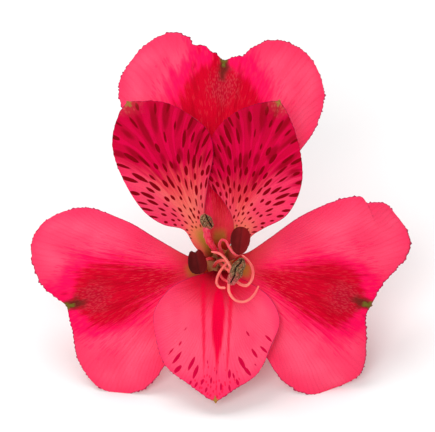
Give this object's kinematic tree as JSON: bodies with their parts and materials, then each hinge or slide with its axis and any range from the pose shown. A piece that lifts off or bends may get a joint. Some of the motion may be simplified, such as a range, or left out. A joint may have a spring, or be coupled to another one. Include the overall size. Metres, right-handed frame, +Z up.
{
  "type": "cut alstroemeria bloom",
  "caption": "Open alstroemeria flower lying on its cut stalk and lower petals, with streaked upper petals, loose stamens and a branched style.",
  "frame": {"origin": "on the surface that the bloom lies on, under the middle of its bounding box", "axes": "+Z up; +Y away from the viewer, towards the upper petals' tips and the cut stalk; +X to the viewer's right, along the span of the lower outer petals. The throat opens towards -Y and up."},
  "size_m": [0.0678, 0.0502, 0.0481],
  "materials": {
    "outer_petal": "satin",
    "upper_inner_petal": "satin",
    "lower_inner_petal": "satin",
    "filament": "satin",
    "closed_anther": "matte",
    "open_anther": "matte",
    "style": "satin",
    "ovary": "satin",
    "stalk": "satin"
  },
  "bodies": {
    "root": {"outer_tepal_upper": "outer_petal", "outer_tepal_lower_left": "outer_petal", "outer_tepal_lower_right": "outer_petal", "inner_tepal_upper_left": "upper_inner_petal", "inner_tepal_upper_right": "upper_inner_petal", "inner_tepal_lower": "lower_inner_petal", "filament_1": "filament", "filament_2": "filament", "filament_3": "filament", "filament_4": "filament", "filament_5": "filament", "filament_6": "filament", "anther_1": "closed_anther", "anther_2": "closed_anther", "anther_3": "open_anther", "anther_4": "open_anther", "style": "style", "ovary": "ovary", "pedicel": "stalk"}
  },
  "joints": []
}
